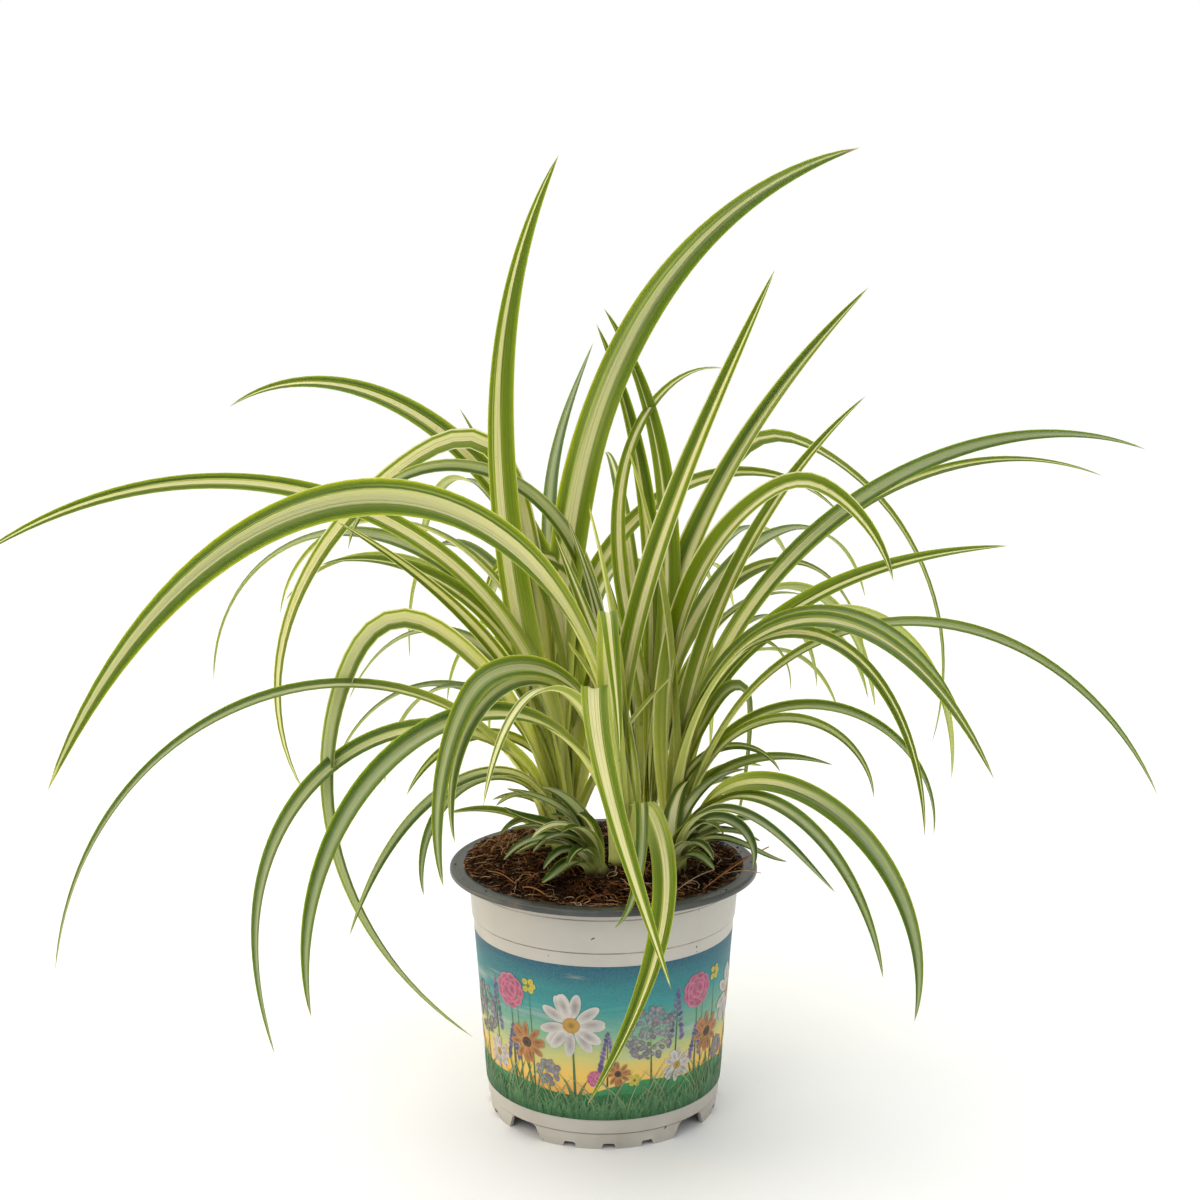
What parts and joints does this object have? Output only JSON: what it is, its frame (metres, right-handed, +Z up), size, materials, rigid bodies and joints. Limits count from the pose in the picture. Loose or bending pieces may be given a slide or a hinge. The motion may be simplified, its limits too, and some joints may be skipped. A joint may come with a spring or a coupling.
{
  "type": "potted spider plant",
  "caption": "Bushy potted plant with long arching green leaves striped cream down the middle, rising from dark coir in a thin tapered nursery pot with a grey rim and notched foot.",
  "frame": {"origin": "on the ground under the pot's centre, which is also the middle of the plant's spread", "axes": "+Z up along the pot's axis; +X to the viewer's right and +Y away from the viewer in the picture"},
  "size_m": [0.4301, 0.4299, 0.3715],
  "materials": {
    "pot": "cream white polypropylene, slightly satin",
    "pot_rim": "grey polypropylene of the rim and the inside",
    "pot_print": "printed meadow and sky band",
    "soil": "moist coir and peat",
    "fibre": "dry coir fibre",
    "leaf": "satin leaf, green with a cream stripe",
    "young_leaf": "darker satin leaf with a white stripe"
  },
  "bodies": {
    "root": {"pot": "pot", "soil": "soil", "rosette_left": "leaf", "rosette_front": "leaf", "rosette_right": "leaf", "rosette_back_left": "leaf", "rosette_back_right": "leaf", "offset_left": "young_leaf", "offset_right": "young_leaf"}
  },
  "joints": []
}
